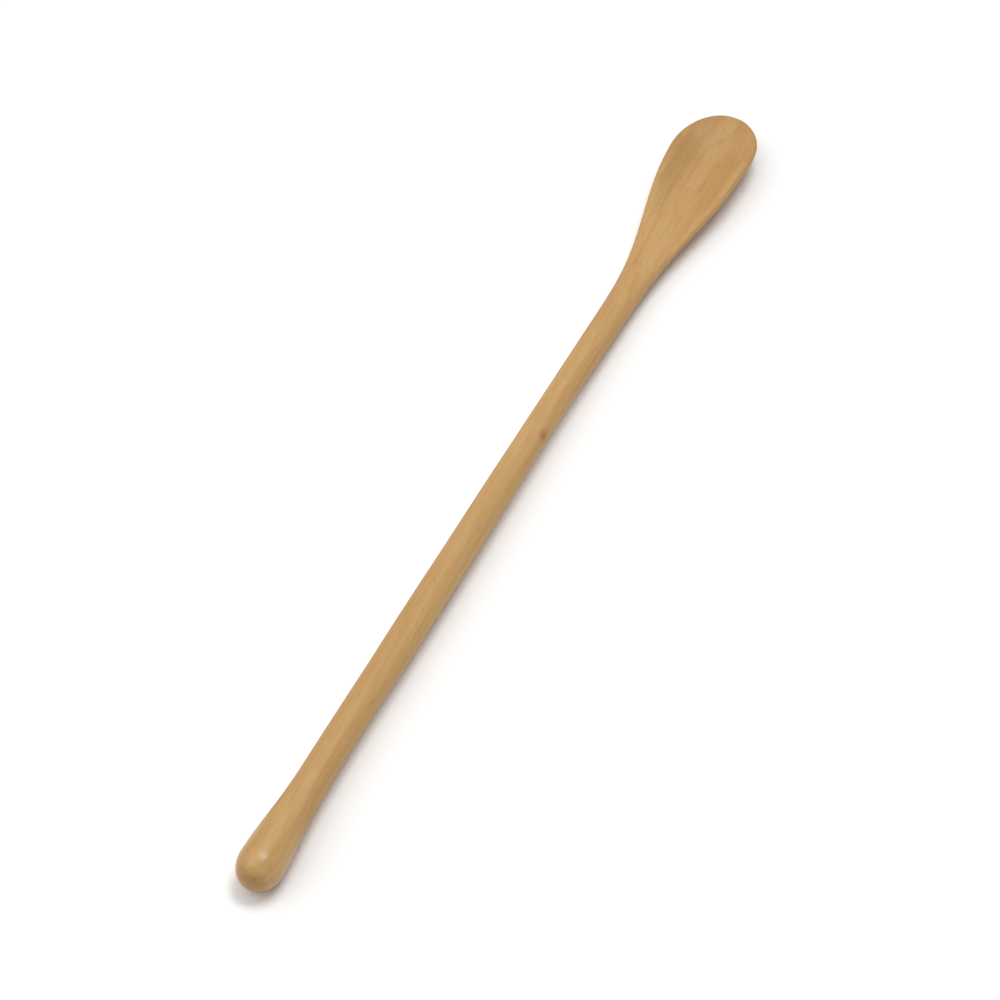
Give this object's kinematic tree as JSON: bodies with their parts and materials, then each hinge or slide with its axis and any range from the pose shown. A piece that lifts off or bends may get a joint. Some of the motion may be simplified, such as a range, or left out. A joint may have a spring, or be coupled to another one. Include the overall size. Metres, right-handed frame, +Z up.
{
  "type": "muddler",
  "caption": "Slim one-piece wooden bar muddler: a round handle with a domed muddling knob at one end and a small shallow stirring spoon at the other.",
  "frame": {"origin": "on the table the muddler lies on, under the middle of its length and width", "axes": "+X along the handle from the muddling knob to the spoon, +Z up out of the bowl's hollow, +Y across"},
  "size_m": [0.2198, 0.0176, 0.0094],
  "materials": {
    "wood": "satin, sanded and lightly oiled pale wood with fine grain along the handle"
  },
  "bodies": {
    "root": {"muddling_knob": "wood", "handle": "wood", "neck": "wood", "spoon_bowl": "wood"}
  },
  "joints": []
}
